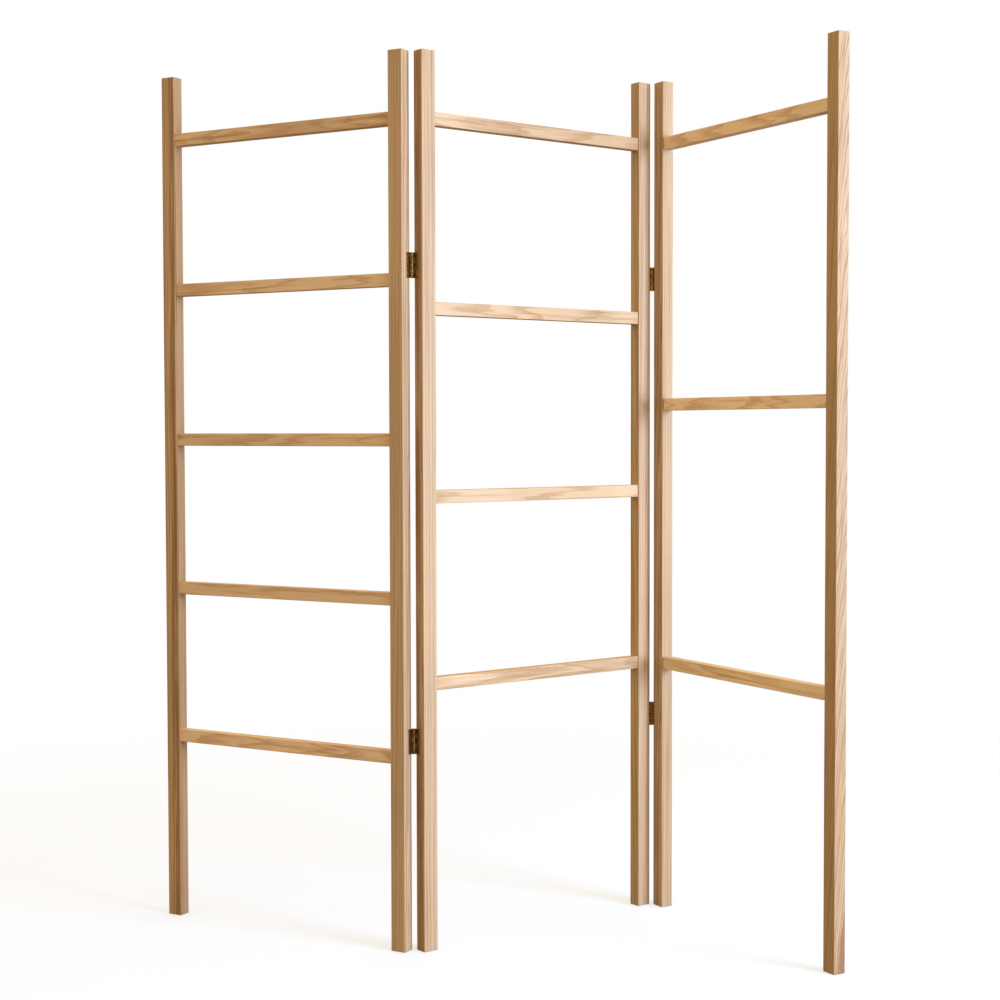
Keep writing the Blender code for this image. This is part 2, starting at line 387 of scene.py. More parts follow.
def ash_material(name, ash, lift=1.0, contrast=0.8, end_grain=False):
    """Ash, planed and oiled. Its ring-porous growth shows as dark open lines on pale dense wood."""
    material, tree, shader = new_material(name)
    log = add(tree, "ShaderNodeAttribute", attribute_name="log").outputs["Vector"]
    tone = add(tree, "ShaderNodeAttribute", attribute_name="tone").outputs["Fac"]
    wear = add(tree, "ShaderNodeAttribute", attribute_name="wear").outputs["Fac"]

    # Growth rings lie round the log's heart, wander over a hand's length and vary in width by the year.
    flat = add(tree, "ShaderNodeVectorMath", {0: log, 1: (1, 1, 0)}, operation="MULTIPLY").outputs[0]
    radius = add(tree, "ShaderNodeVectorMath", {0: flat}, operation="LENGTH").outputs["Value"]
    years = maths(tree, "DIVIDE", radius, ash.ring)
    years = maths(tree, "MULTIPLY_ADD", grain_noise(tree, log, WANDER), RING_WANDER, years)
    weather = {"W": years, "Scale": WEATHER_PACE, "Detail": 1.0}
    weather = add(tree, "ShaderNodeTexNoise", weather, noise_dimensions="1D").outputs["Fac"]
    years = maths(tree, "MULTIPLY_ADD", weather, RING_VARIETY, years)
    season = maths(tree, "FRACT", years)
    early = maths(tree, "MULTIPLY", ramped(tree, season, *EARLY_START), ramped(tree, season, *EARLY_END))

    # The figures that run along the grain.
    ribbon = grain_noise(tree, log, STREAK, 3.0)
    streak = ramped(tree, ribbon, *STREAK_RANGE)
    fibre = grain_noise(tree, log, FIBRE, 4.0)
    drift = grain_noise(tree, log, DRIFT, 1.0)
    pore = ramped(tree, grain_noise(tree, log, PORE), *PORE_RANGE)

    # The colour: rings, streaks and heartwood, then the board's and the fibres' shade, then pores and wear.
    # The heartwood on the middle panel's left post is partly painted shade, and the tone of the right panel's
    # rungs is partly painted light.
    colour = mixed(tree, maths(tree, "MULTIPLY", early, contrast), linear(ash.pale), linear(ash.deep))
    # Heartwood: the log's own brown, and on the middle panel's left post also painted shade on its left face.
    heartwood_and_painted_shade = maths(tree, "MULTIPLY_ADD", ribbon, HEARTWOOD_RAG, radius)
    heartwood_and_painted_shade = ramped(tree, heartwood_and_painted_shade, *[HEARTWOOD + fade for fade in HEARTWOOD_FADE])
    heartwood_and_painted_shade = maths(tree, "MULTIPLY", heartwood_and_painted_shade, HEARTWOOD_DEPTH)
    streak = maths(tree, "MAXIMUM", maths(tree, "MULTIPLY", streak, STREAK_DEPTH), heartwood_and_painted_shade)
    colour = mixed(tree, streak, colour, linear(ash.heart))
    shade = ramped(tree, fibre, *FIBRE_RANGE, *FIBRE_SHADE)
    drift = ramped(tree, drift, *DRIFT_RANGE, *[share * lift for share in DRIFT_SHADE])
    shade = maths(tree, "MULTIPLY", shade, drift)
    # A board's tone. On the right panel's rungs it is partly painted light.
    board_tone_and_painted_light = {0: tone, 1: PALER_BOARD, 2: (1, 1, 1)}
    board_tone_and_painted_light = add(tree, "ShaderNodeVectorMath", board_tone_and_painted_light, operation="MULTIPLY_ADD").outputs[0]
    colour = mixed(tree, 1.0, colour, board_tone_and_painted_light, "MULTIPLY")
    colour = mixed(tree, 1.0, colour, shade, "MULTIPLY")
    open_pore = maths(tree, "MULTIPLY", pore, maths(tree, "MULTIPLY_ADD", early, *PORE_DEPTH))
    colour = mixed(tree, open_pore, colour, linear(PORE_COLOUR))
    colour = mixed(tree, maths(tree, "MULTIPLY", wear, RUBBED_DEPTH), colour, linear(RUBBED_COLOUR))
    if end_grain:
        # A sawn end drinks the oil, so it is darker than the planed sides.
        colour = mixed(tree, END_DEPTH, colour, linear(END_COLOUR))

    # The surface: fibres stand proud, early wood lies lower and is duller, and pores are pits.
    rough = ramped(tree, fibre, 0.2, 0.8, *[ash.sheen + change for change in FIBRE_GLOSS])
    rough = maths(tree, "MULTIPLY_ADD", early, EARLY_DULLS, rough)
    parts = zip((fibre, early, open_pore), RELIEF_SHARES)
    proud, low, pits = [maths(tree, "MULTIPLY", part, share) for part, share in parts]
    height = maths(tree, "SUBTRACT", maths(tree, "SUBTRACT", proud, low), pits)
    relief = {"Height": height, "Strength": 0.3, "Distance": RELIEF_DEPTH}
    bump = add(tree, "ShaderNodeBump", relief).outputs["Normal"]
    tree.links.new(colour, shader.inputs["Base Color"])
    tree.links.new(rough, shader.inputs["Roughness"])
    tree.links.new(bump, shader.inputs["Normal"])
    shader.inputs["IOR"].default_value = OILED_IOR
    return material


# Patina grows in clouds about 4 mm across. Real scuffs are finer than a tenth of a millimetre, too fine to
# show, so they are drawn 0.7 mm wide. What settles in them is dark brown.

PATINA_CLOUD = 0.004
PATINA_RANGE = (0.62, 0.80)
SCUFF = 0.0007
SCUFF_RANGE = (0.35, 0.7)
SCUFF_STRENGTH = 0.35
SCUFF_COLOUR = "40310F"
SCUFF_DEPTH = 0.00008

# The roughness of patina, and what bare metal and scuffs add to it.

PATINA_ROUGH = 0.42
BARE_ROUGH = -0.16
SCUFF_ROUGH = 0.08


def brass_material(name, hinge, clean):
    """Rolled brass left to age: a brown skin in the hollows, rubbed back to metal where it is touched."""
    material, tree, shader = new_material(name)
    place = add(tree, "ShaderNodeTexCoord").outputs["Object"]
    cloud = {"Vector": place, "Scale": 1 / PATINA_CLOUD, "Detail": 4.0, "Roughness": 0.65}
    cloud = add(tree, "ShaderNodeTexNoise", cloud).outputs["Fac"]
    scuff = {"Vector": place, "Scale": 1 / SCUFF, "Detail": 3.0, "Roughness": 0.7}
    scuff = add(tree, "ShaderNodeTexNoise", scuff).outputs["Fac"]
    bare = ramped(tree, cloud, *[edge - clean for edge in PATINA_RANGE])
    colour = mixed(tree, bare, linear(hinge.patina), linear(hinge.brass))
    dirt = ramped(tree, scuff, *SCUFF_RANGE, 0.0, SCUFF_STRENGTH)
    colour = mixed(tree, dirt, colour, linear(SCUFF_COLOUR))
    rough = maths(tree, "MULTIPLY_ADD", bare, BARE_ROUGH, PATINA_ROUGH)
    rough = maths(tree, "MULTIPLY_ADD", scuff, SCUFF_ROUGH, rough)
    bump = add(tree, "ShaderNodeBump", {"Height": scuff, "Strength": 0.25, "Distance": SCUFF_DEPTH})
    tree.links.new(colour, shader.inputs["Base Color"])
    tree.links.new(rough, shader.inputs["Roughness"])
    tree.links.new(bump.outputs["Normal"], shader.inputs["Normal"])
    shader.inputs["Metallic"].default_value = 1.0
    return material


# Posts.

# The steps up a post in metres, and the number of steps round an eased edge and over an eased end.

POST_STEP = 0.028
CORNER_STEPS = 4
END_STEPS = 3

# How far a sawn end's outline is drawn in, as a share of the edge's radius.

END_INSET = 0.6

# Sanding by hand rounds an edge by up to this share more, in this many slow waves a metre.

HAND_EASING = 0.5
HAND_WAVES = 8

# Offsets that give each post and each corner its own waves, and each post its own place in the log.

POSTS_APART = 3.1
CORNERS_APART = 7.7
LOGS_APART = 2.7

# A post's map for baking: its long sides in four columns with both ends above them, in metres.

MAP_NAME = "OFBake"
MAP_COLUMNS = 4
MAP_MARGIN = 0.003
MAP_SIZE = 0.486


def section(width, depth, radii, inset):
    """Points round a board's section with its four corners eased, and the whole drawn in at its ends."""
    points = []
    for corner, radius in enumerate(radii):
        middle = math.radians(45 + 90 * corner)
        x = math.copysign(width / 2 - radius, math.cos(middle))
        y = math.copysign(depth / 2 - radius, math.sin(middle))
        for step in range(CORNER_STEPS + 1):
            angle = middle + math.radians(90) * (step / CORNER_STEPS - 0.5)
            reach = radius - inset
            points.append((x + reach * math.cos(angle), y + reach * math.sin(angle)))
    return points


def post_stations(height, edge):
    """(height, inset) of the sections up a post, close together where its ends are eased."""
    ends = []
    for step in range(END_STEPS + 1):
        angle = math.radians(90) * step / END_STEPS
        ends.append((edge * (1 - math.cos(angle)), END_INSET * edge * (1 - math.sin(angle))))
    count = round((height - 2 * edge) / POST_STEP)
    body = [(edge + (height - 2 * edge) * number / count, 0.0) for number in range(1, count)]
    return [*ends, *body, *[(height - z, inset) for z, inset in reversed(ends)]]


def post_mesh(name, size, ash, cut):
    """A post standing on the origin, with each point's place in its log."""
    heart_turn, heart_far, lean, tone = cut
    turn = Matrix.Rotation(math.radians(heart_turn), 3, "Z")
    heart = turn @ Vector((heart_far, 0, 0))
    slope = turn @ Vector((math.tan(math.radians(lean)), 0, 0))
    seed = list(POST_CUTS).index(name)
    bm = bmesh.new()
    logs = bm.verts.layers.float_vector.new("log")
    tones = bm.verts.layers.float.new("tone")
    wears = bm.verts.layers.float.new("wear")
    bakes = bm.loops.layers.uv.new(MAP_NAME)
    rings = []
    for z, inset in post_stations(size.z, ash.edge):
        radii = []
        for corner in range(4):
            place = (seed * POSTS_APART, corner * CORNERS_APART, z * HAND_WAVES)
            radii.append(ash.edge * (1 + HAND_EASING * (0.5 + 0.5 * noise.noise(place))))
        ring = []
        for number, (x, y) in enumerate(section(size.x, size.y, radii, inset)):
            vert = bm.verts.new((x, y, z))
            place = Vector((x, y, 0)) - heart - slope * (z - size.z / 2)
            vert[logs] = (place.x, place.y, z + seed * LOGS_APART)
            vert[tones] = tone
            vert[wears] = 1.0 if 0 < number % (CORNER_STEPS + 1) < CORNER_STEPS else 0.0
            ring.append(vert)
        rings.append(ring)

    # The map for baking follows the sides: along is the way round the post, and up is the height.
    around = [0.0]
    outline = [vert.co.xy for vert in rings[len(rings) // 2]]
    for here, there in zip(outline, [*outline[1:], outline[0]]):
        around.append(around[-1] + (there - here).length)
    span = size.z / MAP_COLUMNS
    for lower, upper in zip(rings, rings[1:]):
        middle = (lower[0].co.z + upper[0].co.z) / 2
        column = int(middle / span)
        left = column * (around[-1] + MAP_MARGIN) + MAP_MARGIN / 2
        bottom = column * span - POST_STEP / 2 - MAP_MARGIN / 2
        for number in range(len(lower)):
            after = (number + 1) % len(lower)
            face = bm.faces.new((lower[number], lower[after], upper[after], upper[number]))
            face.smooth = after % (CORNER_STEPS + 1) != 0
            for loop, place in zip(face.loops, (number, number + 1, number + 1, number)):
                loop[bakes].uv = Vector((left + around[place], loop.vert.co.z - bottom)) / MAP_SIZE
    for number, cap in enumerate((rings[0][::-1], rings[-1])):
        face = bm.faces.new(cap)
        face.material_index = 1
        corner = Vector(((number + 0.5) * (size.x + MAP_MARGIN), MAP_SIZE - size.y / 2 - MAP_MARGIN / 2))
        for loop in face.loops:
            loop[bakes].uv = (corner + loop.vert.co.xy) / MAP_SIZE
    mesh = bpy.data.meshes.new(name)
    bm.to_mesh(mesh)
    bm.free()
    return mesh


class RACK_OT_posts(bpy.types.Operator):
    """Makes the six ash posts, each from its own log, with hand-eased edges"""

    bl_idname = "ladder_rack.posts"
    bl_label = "Posts"

    def execute(self, context):
        ash = context.scene.rack_ash
        side_grain = ash_material("oiled_ash_post", ash)
        end_grain = ash_material("oiled_ash_end_grain", ash, end_grain=True)
        size = size_of("middle_panel_left_post")
        for panel in PANELS:
            place = panel_frame(panel)
            for side in ("left", "right"):
                node = f"{panel}_panel_{side}_post"
                mesh = post_mesh(node, size, ash, POST_CUTS[node])
                mesh.materials.append(side_grain)
                mesh.materials.append(end_grain)
                foot = Matrix.Translation(middle_of(node) * Vector((1, 1, 0)))
                mesh.transform(foot @ place.to_3x3().to_4x4())
                stand_for(f"{node}_ash", mesh, f"{panel}_panel", [node])
        return {"FINISHED"}


# Rungs.

RUNG_STATIONS = 20

# A face whose normal lies this near an axis is one of a rung's flat sides, and keeps flat shading.

FLAT_SIDE = 0.999

# How much longer than the gap between the posts a rung is, so that its shoulders show no gap.

RUNG_SEAT = 0.0006

# The board that each panel's rungs were cut from: its tone, partly painted light, and the seed of the rungs'
# places in it.

# The right panel's high tone lifts rungs whose faces lie in shade: partly the paleness of their board, partly
# painted light.
RUNG_BOARDS_AND_PAINTED_LIGHT = {"left": (0.55, 10), "middle": (0.05, 1), "right": (1.65, 2)}

# A rung's place in its log: how far away the heart lies, how much the grain leans towards it and climbs for
# each metre along the rung, how long the log is, and how much the rungs' tones differ.

HEART_FAR = (0.070, 0.110)
HEART_LEAN = (-0.030, 0.030)
GRAIN_CLIMB = 0.004
LOG_LENGTH = 9.0
TONE_SPREAD = 0.5


def tree_with(name, inputs):
    """A geometry tree with named inputs, its input node and its output node."""
    tree = bpy.data.node_groups.new(name, "GeometryNodeTree")
    for label, kind in inputs.items():
        tree.interface.new_socket(label, in_out="INPUT", socket_type=f"NodeSocket{kind}")
    tree.interface.new_socket("Geometry", in_out="OUTPUT", socket_type="NodeSocketGeometry")
    return tree, tree.nodes.new("NodeGroupInput"), tree.nodes.new("NodeGroupOutput")


def run_tree(name, tree, values, mesh):
    """The plain mesh that a geometry tree makes with these values for its named inputs."""
    obj = link_object(name, mesh)
    modifier = obj.modifiers.new(tree.name, "NODES")
    modifier.node_group = tree
    for item in tree.interface.items_tree:
        if item.in_out == "INPUT" and item.name in values:
            modifier[item.identifier] = values[item.name]
    return baked(obj)


def stored(tree, geometry, name, value, kind="FLOAT_VECTOR", domain="POINT"):
    """The geometry with a value stored on it under a name."""
    inputs = {"Geometry": geometry, "Name": name, "Value": value}
    return add(tree, "GeometryNodeStoreNamedAttribute", inputs, data_type=kind, domain=domain).outputs[0]


def recalled(tree, name):
    """The vector stored under a name."""
    return add(tree, "GeometryNodeInputNamedAttribute", {"Name": name}, data_type="FLOAT_VECTOR").outputs[0]


def between(tree, chance, low, high):
    """A random number from 0 to 1, brought between two others."""
    inputs = {"Value": chance, "To Min": low, "To Max": high}
    return add(tree, "ShaderNodeMapRange", inputs).outputs["Result"]


def rung_tree():
    """Evenly spaced rungs below a top one: eased bars along X, each cut from its own place in a log."""
    inputs = {
        "Count": "Int", "Top": "Float", "Spacing": "Float", "Length": "Float", "Height": "Float",
        "Thickness": "Float", "Edge": "Float", "Tone": "Float", "Seed": "Int", "Material": "Material",
    }
    tree, given, output = tree_with("rack_rungs", inputs)
    given = given.outputs

    # One rung: an eased rectangle carried along X. Each point keeps its place in the rung as its grain.
    sides = {"Width": given["Thickness"], "Height": given["Height"]}
    outline = add(tree, "GeometryNodeCurvePrimitiveQuadrilateral", sides).outputs[0]
    eased = {"Curve": outline, "Radius": given["Edge"], "Count": CORNER_STEPS}
    eased = add(tree, "GeometryNodeFilletCurve", eased, mode="POLY").outputs[0]
    half = maths(tree, "MULTIPLY", given["Length"], 0.5)
    start = add(tree, "ShaderNodeCombineXYZ", {"X": maths(tree, "MULTIPLY", half, -1.0)}).outputs[0]
    end = add(tree, "ShaderNodeCombineXYZ", {"X": half}).outputs[0]
    line = add(tree, "GeometryNodeCurvePrimitiveLine", {"Start": start, "End": end}).outputs[0]
    line = add(tree, "GeometryNodeResampleCurve", {"Curve": line, "Count": RUNG_STATIONS}).outputs[0]
    bar = {"Curve": line, "Profile Curve": eased, "Fill Caps": True}
    bar = add(tree, "GeometryNodeCurveToMesh", bar).outputs[0]
    bar = stored(tree, bar, "grain", add(tree, "GeometryNodeInputPosition").outputs[0])

    # Rungs in a row, each with its own throw of three random numbers.
    top = add(tree, "ShaderNodeCombineXYZ", {"Z": given["Top"]}).outputs[0]
    drop = {"Z": maths(tree, "MULTIPLY", given["Spacing"], -1.0)}
    drop = add(tree, "ShaderNodeCombineXYZ", drop).outputs[0]
    row = {"Count": given["Count"], "Start Location": top, "Offset": drop}
    row = add(tree, "GeometryNodeMeshLine", row).outputs[0]
    rungs = add(tree, "GeometryNodeInstanceOnPoints", {"Points": row, "Instance": bar}).outputs[0]
    throw = {"Seed": given["Seed"]}
    throw = add(tree, "FunctionNodeRandomValue", throw, data_type="FLOAT_VECTOR").outputs[0]
    rungs = stored(tree, rungs, "throw", throw, domain="INSTANCE")
    rungs = add(tree, "GeometryNodeRealizeInstances", {"Geometry": rungs}).outputs[0]

    # The place in the log: the heart lies behind the rung, and the grain leans a little.
    grain, chance = [
        add(tree, "ShaderNodeSeparateXYZ", {0: recalled(tree, name)}).outputs for name in ("grain", "throw")
    ]
    lean = between(tree, chance["Y"], *HEART_LEAN)
    far = between(tree, chance["X"], *HEART_FAR)
    across = maths(tree, "MULTIPLY_ADD", grain["X"], GRAIN_CLIMB, grain["Z"])
    deep = maths(tree, "ADD", grain["Y"], maths(tree, "MULTIPLY_ADD", grain["X"], lean, far))
    along = maths(tree, "MULTIPLY_ADD", chance["Z"], LOG_LENGTH, grain["X"])
    place = add(tree, "ShaderNodeCombineXYZ", {"X": across, "Y": deep, "Z": along}).outputs[0]
    rungs = stored(tree, rungs, "log", place)
    spread = maths(tree, "MULTIPLY_ADD", chance["Y"], TONE_SPREAD, -TONE_SPREAD / 2)
    rungs = stored(tree, rungs, "tone", maths(tree, "ADD", given["Tone"], spread), "FLOAT")
    rungs = {"Geometry": rungs, "Material": given["Material"]}
    rungs = add(tree, "GeometryNodeSetMaterial", rungs).outputs[0]
    tree.links.new(rungs, output.inputs[0])
    return tree


class RACK_OT_rungs(bpy.types.Operator):
    """Makes each panel's row of flat ash rungs"""

    bl_idname = "ladder_rack.rungs"
    bl_label = "Rungs"

    def execute(self, context):
        ash = context.scene.rack_ash
        material = ash_material("oiled_ash_rung", ash, lift=ash.rung_lift, contrast=0.55)
        tree = rung_tree()
        size = size_of("middle_panel_rung_1")
        post_width = size_of("middle_panel_left_post").x
        ends = [middle_of(f"middle_panel_{side}_post").x for side in ("left", "right")]
        for panel in PANELS:
            tone, seed = RUNG_BOARDS_AND_PAINTED_LIGHT[panel]
            nodes = nodes_named(f"{panel}_panel_rung")
            heights = sorted((middle_of(node).z for node in nodes), reverse=True)
            values = {
                "Count": len(nodes),
                "Top": heights[0],
                "Spacing": heights[0] - heights[1],
                "Length": ends[1] - ends[0] - post_width + RUNG_SEAT,
                "Height": size.z,
                "Thickness": size.y,
                "Edge": ash.edge,
                "Tone": tone,
                "Seed": seed,
                "Material": material,
            }
            name = f"{panel}_panel_rungs_ash"
            mesh = run_tree(name, tree, values, bpy.data.meshes.new(name))
            for polygon in mesh.polygons:
                polygon.use_smooth = max(map(abs, polygon.normal)) < FLAT_SIDE
            mesh.transform(panel_frame(panel))
            stand_for(name, mesh, f"{panel}_panel", nodes)
        return {"FINISHED"}


# Hinges.

BARREL_SIDES = 40
PIN_SIDES = 32

# In metres: the gap between knuckles and round pins and screws, the radius of a leaf's rubbed edges, and the
# open seam where the rolled barrel meets its plate.

KNUCKLE_GAP = 0.0003
LEAF_EDGE = 0.00015
SEAM = 0.00035

# How far the cutting shapes reach past the brass, and how deep a screw's hole is cut from the leaf's face.

CUTTER_REACH = 0.002
SINK_DEPTH = 0.01

# A pin's domed end: its steps, and its height as a share of the pin's radius.

DOME_STEPS = 5
DOME_RISE = 0.35

# An edge that turns by more than this is kept sharp, and points closer together than this are merged.

SHARP_ANGLE = math.radians(40)
MERGE_DISTANCE = 1e-6


def turned_mesh(name, profile, sides):
    """A closed mesh turned about Z from (radius, height) points that start and end on the axis."""
    bm = bmesh.new()
    verts = [bm.verts.new((radius, 0, height)) for radius, height in profile]
    edges = [bm.edges.new(pair) for pair in zip(verts, verts[1:])]
    bmesh.ops.spin(
        bm, geom=verts + edges, cent=(0, 0, 0), axis=(0, 0, 1), angle=math.tau, steps=sides, use_merge=True,
    )
    bmesh.ops.remove_doubles(bm, verts=bm.verts, dist=MERGE_DISTANCE)
    bmesh.ops.recalc_face_normals(bm, faces=bm.faces)
    mesh = bpy.data.meshes.new(name)
    bm.to_mesh(mesh)
    bm.free()
    return mesh


def cylinder(radius, low, high):
    """The profile of a cylinder between two heights."""
    return [(0, low), (radius, low), (radius, high), (0, high)]


def leaf_section(sizes):
    """A leaf's section: a rolled barrel with its seam, and the plate that leaves it along a tangent."""
    barrel = sizes["barrel"]
    opening = math.acos(sizes["inner"] / barrel)
    sweep = math.tau - opening - SEAM / barrel
    points = [(barrel, sizes["width"])]
    for number in range(BARREL_SIDES + 1):
        angle = -sweep * number / BARREL_SIDES
        points.append((barrel * math.cos(angle), barrel * math.sin(angle)))
    lip = barrel - 2 * SEAM
    points.append((lip * math.cos(opening), lip * math.sin(opening)))
    points.append((sizes["inner"], barrel * math.sin(opening)))
    points.append((sizes["inner"], sizes["width"]))
    return points


def leaf_cutters(sizes, knuckles, first):
    """Meshes to cut from a leaf: the other leaf's knuckles, the pin's bore and the screws' countersinks."""
    half = sizes["length"] / 2
    pitch = (sizes["length"] + KNUCKLE_GAP) / knuckles
    reach = sizes["barrel"] + KNUCKLE_GAP
    bore = sizes["pin"] + KNUCKLE_GAP / 2
    end = half + CUTTER_REACH
    cutters = [turned_mesh("bore", cylinder(bore, -end, end), PIN_SIDES)]
    for number in range(1 - first, knuckles, 2):
        low = -end if number == 0 else -half + number * pitch - KNUCKLE_GAP
        high = end if number == knuckles - 1 else -half + (number + 1) * pitch
        cutters.append(turned_mesh("notch", cylinder(reach, low, high), BARREL_SIDES))
    head = sizes["head"] + KNUCKLE_GAP / 2
    sink = [(0, -CUTTER_REACH), (head, -CUTTER_REACH), (head, 0)]
    sink += [(head / 2, head / 2), (head / 2, SINK_DEPTH), (0, SINK_DEPTH)]
    for height in sizes["heights"]:
        cutter = turned_mesh("countersink", sink, PIN_SIDES)
        turn = Matrix.Rotation(math.radians(90), 4, "Y")
        cutter.transform(Matrix.Translation((sizes["inner"], sizes["row"], height)) @ turn)
        cutters.append(cutter)
    return cutters


def leaf_mesh(name, sizes, knuckles, first):
    """One leaf on its pin's axis, rolled from sheet, with softened edges."""
    half = sizes["length"] / 2
    bm = bmesh.new()
    bottom = [bm.verts.new((x, y, -half)) for x, y in leaf_section(sizes)]
    grown = bmesh.ops.extrude_face_region(bm, geom=[bm.faces.new(bottom)])["geom"]
    top = [item for item in grown if isinstance(item, bmesh.types.BMVert)]
    bmesh.ops.translate(bm, vec=(0, 0, sizes["length"]), verts=top)
    bmesh.ops.recalc_face_normals(bm, faces=bm.faces)
    mesh = bpy.data.meshes.new(name)
    bm.to_mesh(mesh)
    bm.free()
    leaf = link_object(name, mesh)
    soften = leaf.modifiers.new("soften", "BEVEL")
    soften.width = LEAF_EDGE
    soften.segments = 2
    soften.limit_method = "ANGLE"
    soften.angle_limit = SHARP_ANGLE
    helpers = []
    for cutter in leaf_cutters(sizes, knuckles, first):
        helper = link_object("leaf_cutter", cutter)
        helpers.append(helper)
        cut = leaf.modifiers.new("cut", "BOOLEAN")
        cut.operation = "DIFFERENCE"
        cut.object = helper
    mesh = baked(leaf)
    for helper in helpers:
        bpy.data.objects.remove(helper)

    # The flat faces keep their own shading, and only the barrel and the rubbed edges are shaded round.
    bm = bmesh.new()
    bm.from_mesh(mesh)
    bmesh.ops.dissolve_degenerate(bm, dist=MERGE_DISTANCE, edges=bm.edges)
    bmesh.ops.remove_doubles(bm, verts=bm.verts, dist=MERGE_DISTANCE)
    bm.to_mesh(mesh)
    bm.free()
    mesh.shade_smooth()
    mesh.set_sharp_from_angle(angle=SHARP_ANGLE)
    leaf = link_object(name, mesh)
    flatten = leaf.modifiers.new("flatten", "WEIGHTED_NORMAL")
    flatten.weight = 100
    flatten.keep_sharp = True
    return baked(leaf)


class RACK_OT_leaves(bpy.types.Operator):
    """Makes the eight hinge leaves, rolled from sheet brass"""

    bl_idname = "ladder_rack.leaves"
    bl_label = "Hinge leaves"

    def execute(self, context):
        hinge = context.scene.rack_hinge
        sizes = hinge_sizes()
        brass = brass_material("aged_rolled_brass", hinge, clean=0.14)
        blanks = {
            "fixed": leaf_mesh("fixed_leaf", sizes, hinge.knuckles, 0),
            "swing": leaf_mesh("swing_leaf", sizes, hinge.knuckles, 1),
        }
        for (side, kind), (panel, _, _) in LEAF_SEATS.items():
            for level in LEVELS:
                node = f"{side}_hinge_{level}_{kind}_leaf"
                mesh = blanks[kind].copy()
                mesh.materials.clear()
                mesh.materials.append(brass)
                mesh.transform(leaf_frame(side, level, kind))
                stand_for(f"{node}_brass", mesh, f"{panel}_panel", [node])
        return {"FINISHED"}


class RACK_OT_pins(bpy.types.Operator):
    """Makes the four hinge pins, with domed ends"""

    bl_idname = "ladder_rack.pins"
    bl_label = "Hinge pins"

    def execute(self, context):
        sizes = hinge_sizes()
        brass = brass_material("worn_brass_pin", context.scene.rack_hinge, clean=0.2)
        half = sizes["length"] / 2
        dome = []
        for step in range(DOME_STEPS + 1):
            angle = math.radians(90) * step / DOME_STEPS
            drop = sizes["pin"] * DOME_RISE * (1 - math.cos(angle))
            dome.append((sizes["pin"] * math.sin(angle), half - drop))
        profile = [*dome, *[(radius, -height) for radius, height in reversed(dome)]]
        for side in ("left", "right"):
            for level in LEVELS:
                node = f"{side}_hinge_{level}_pin"
                mesh = turned_mesh(node, profile, PIN_SIDES)
                mesh.shade_smooth()
                mesh.materials.append(brass)
                mesh.transform(Matrix.Translation(middle_of(node)))
                stand_for(f"{node}_brass", mesh, "middle_panel", [node])
        return {"FINISHED"}


# A screw's sides round its head and its shank, then its sizes: the shank's radius, the slot's width and the
# slot's length are shares of the head's radius, and the tip is a share of the shank's.

HEAD_SIDES = 28
SHANK_SIDES = 20
SHANK_SHARE = 0.52
SLOT_SHARE = 0.28
SLOT_LENGTH = 1.25
TIP_SHARE = 0.3
SCREW_SHARP_ANGLE = math.radians(30)


def screw_tree():
    """Countersunk wood screws with a cross recess, one at each point, driven along its stored direction."""
    inputs = {
        "Geometry": "Geometry", "Head": "Float", "Shank": "Float", "Length": "Float", "Slot": "Float",
        "Material": "Material",
    }
    tree, given, output = tree_with("rack_screws", inputs)
    given = given.outputs
    neck = maths(tree, "SUBTRACT", given["Head"], given["Shank"])
    head = {"Radius Top": given["Shank"], "Radius Bottom": given["Head"], "Depth": neck}
    head = add(tree, "GeometryNodeMeshCone", {"Vertices": HEAD_SIDES, **head}).outputs[0]
    rest = maths(tree, "SUBTRACT", given["Length"], neck)
    tip = maths(tree, "MULTIPLY", given["Shank"], TIP_SHARE)
    shank = {"Radius Top": tip, "Radius Bottom": given["Shank"], "Depth": rest}
    shank = add(tree, "GeometryNodeMeshCone", {"Vertices": SHANK_SIDES, **shank}).outputs[0]
    lift = add(tree, "ShaderNodeCombineXYZ", {"Z": neck}).outputs[0]
    shank = add(tree, "GeometryNodeTransform", {"Geometry": shank, "Translation": lift}).outputs[0]
    long = maths(tree, "MULTIPLY", given["Head"], SLOT_LENGTH)
    bars = []
    for size in ({"X": long, "Y": given["Slot"]}, {"X": given["Slot"], "Y": long}):
        extent = add(tree, "ShaderNodeCombineXYZ", {**size, "Z": given["Head"]}).outputs[0]
        bars.append(add(tree, "GeometryNodeMeshCube", {"Size": extent}).outputs[0])
    cut = add(tree, "GeometryNodeMeshBoolean", {0: head}, operation="DIFFERENCE", solver="EXACT")
    for bar in bars:
        tree.links.new(bar, cut.inputs[1])
    both = add(tree, "GeometryNodeJoinGeometry")
    tree.links.new(cut.outputs[0], both.inputs[0])
    tree.links.new(shank, both.inputs[0])
    turn = {"Vector": recalled(tree, "into")}
    turn = add(tree, "FunctionNodeAlignRotationToVector", turn, axis="Z").outputs[0]
    screws = {"Points": given["Geometry"], "Instance": both.outputs[0], "Rotation": turn}
    screws = add(tree, "GeometryNodeInstanceOnPoints", screws).outputs[0]
    screws = add(tree, "GeometryNodeRealizeInstances", {"Geometry": screws}).outputs[0]
    screws = {"Geometry": screws, "Material": given["Material"]}
    screws = add(tree, "GeometryNodeSetMaterial", screws).outputs[0]
    tree.links.new(screws, output.inputs[0])
    return tree


def screw_points(name, places):
    """A mesh with a point at each screw's head, and the direction into the wood stored on it."""
    mesh = bpy.data.meshes.new(name)
    mesh.from_pydata([point for point, _ in places], [], [])
    into = mesh.attributes.new("into", "FLOAT_VECTOR", "POINT")
    for item, (_, direction) in zip(into.data, places):
        item.vector = direction
    return mesh


